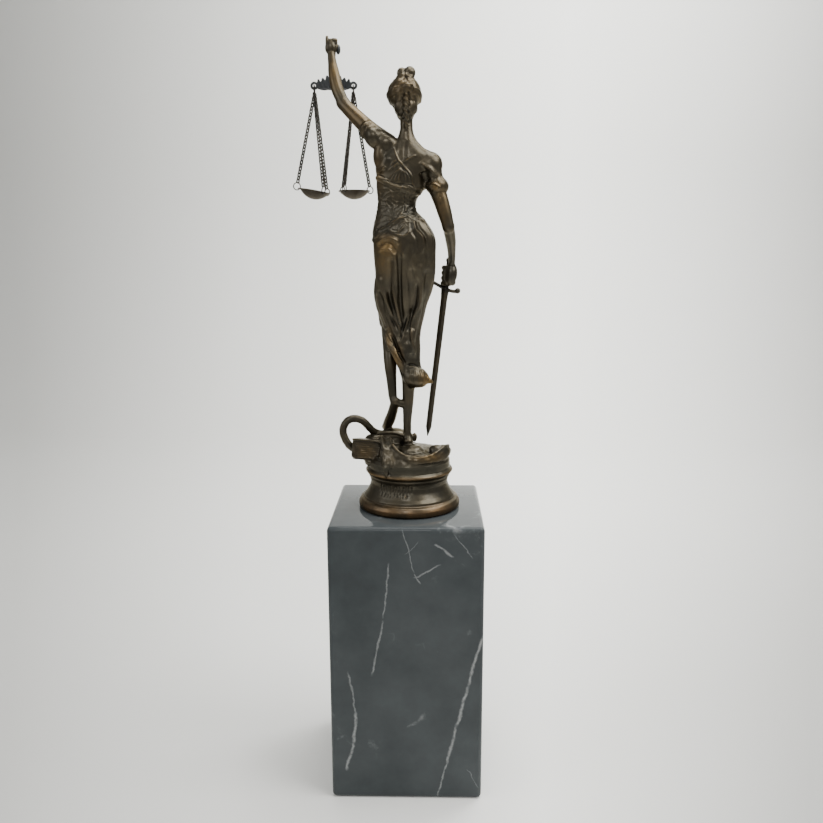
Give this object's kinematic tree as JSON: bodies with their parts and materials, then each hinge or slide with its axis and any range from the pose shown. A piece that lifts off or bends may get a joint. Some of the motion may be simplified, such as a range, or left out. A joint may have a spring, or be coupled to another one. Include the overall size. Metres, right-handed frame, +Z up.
{
  "type": "lady justice statue",
  "caption": "Bronze lady justice with raised scales and lowered sword on a polished dark marble plinth.",
  "frame": {"origin": "centre of the plinth's underside", "axes": "+Z up; the figure's back looks along -Y and its face along +Y; the sword hand is at +X and the raised arm with the scales at -X"},
  "size_m": [0.1278, 0.1, 0.4978],
  "materials": {
    "bronze": "dark brown patinated cast bronze with gold wear on the raised parts",
    "sword_bronze": "dark patinated bronze",
    "dark_metal": "dark grey patinated metal",
    "pan_metal": "brown grey patinated thin metal",
    "chain_metal": "dark grey patinated wire",
    "marble": null
  },
  "bodies": {
    "root": {"marble_plinth": "marble", "bronze_figure": "bronze", "sword": "sword_bronze", "scale_beam": "dark_metal", "scale_pan_left": "pan_metal", "scale_pan_right": "pan_metal", "chain_left_1": "chain_metal", "chain_left_2": "chain_metal", "chain_left_3": "chain_metal", "chain_right_1": "chain_metal", "chain_right_2": "chain_metal", "chain_right_3": "chain_metal", "pan_ring_left_1": "chain_metal", "pan_ring_left_2": "chain_metal", "pan_ring_left_3": "chain_metal", "pan_ring_right_1": "chain_metal", "pan_ring_right_2": "chain_metal", "pan_ring_right_3": "chain_metal", "eye_ring_left": "chain_metal", "eye_ring_right": "chain_metal"}
  },
  "joints": []
}
